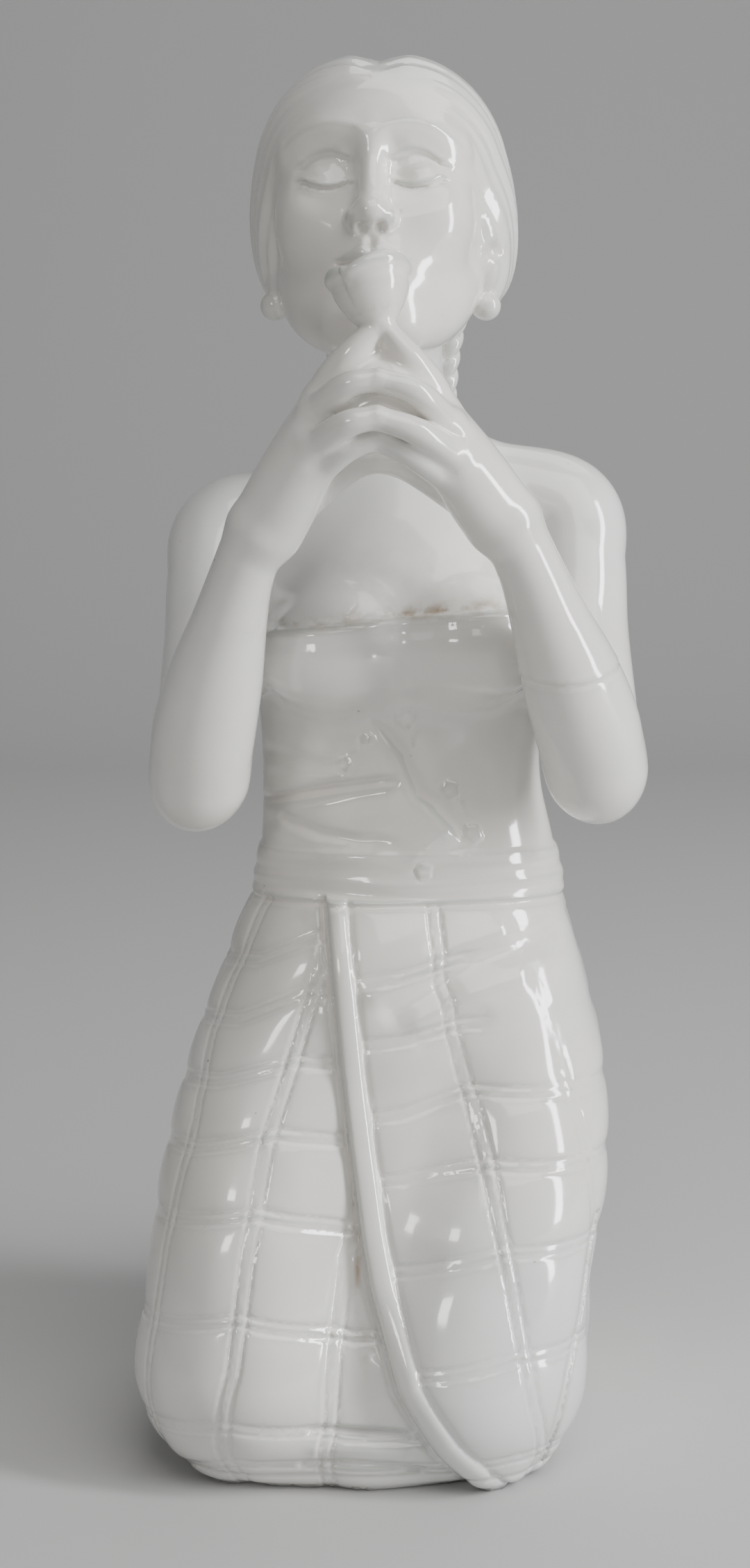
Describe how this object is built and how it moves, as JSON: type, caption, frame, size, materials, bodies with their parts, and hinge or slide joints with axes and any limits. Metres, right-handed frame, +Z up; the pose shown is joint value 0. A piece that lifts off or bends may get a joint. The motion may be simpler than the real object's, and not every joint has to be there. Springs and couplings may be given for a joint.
{
  "type": "porcelain figurine",
  "caption": "Kneeling girl figurine in white glazed porcelain: wrapped check skirt, bare shoulders, braid and ball earrings, tented hands holding a flower to the lips",
  "frame": {"origin": "on the ground, under the middle of the figurine's box", "axes": "+Z up along the figure, -Y the side it faces, +X the viewer's right"},
  "size_m": [0.1058, 0.1668, 0.2897],
  "materials": {
    "glaze": "glossy clear glaze over white porcelain, faint brown stains in the creases"
  },
  "bodies": {
    "root": {"kneeling_girl_figurine": "glaze"}
  },
  "joints": []
}
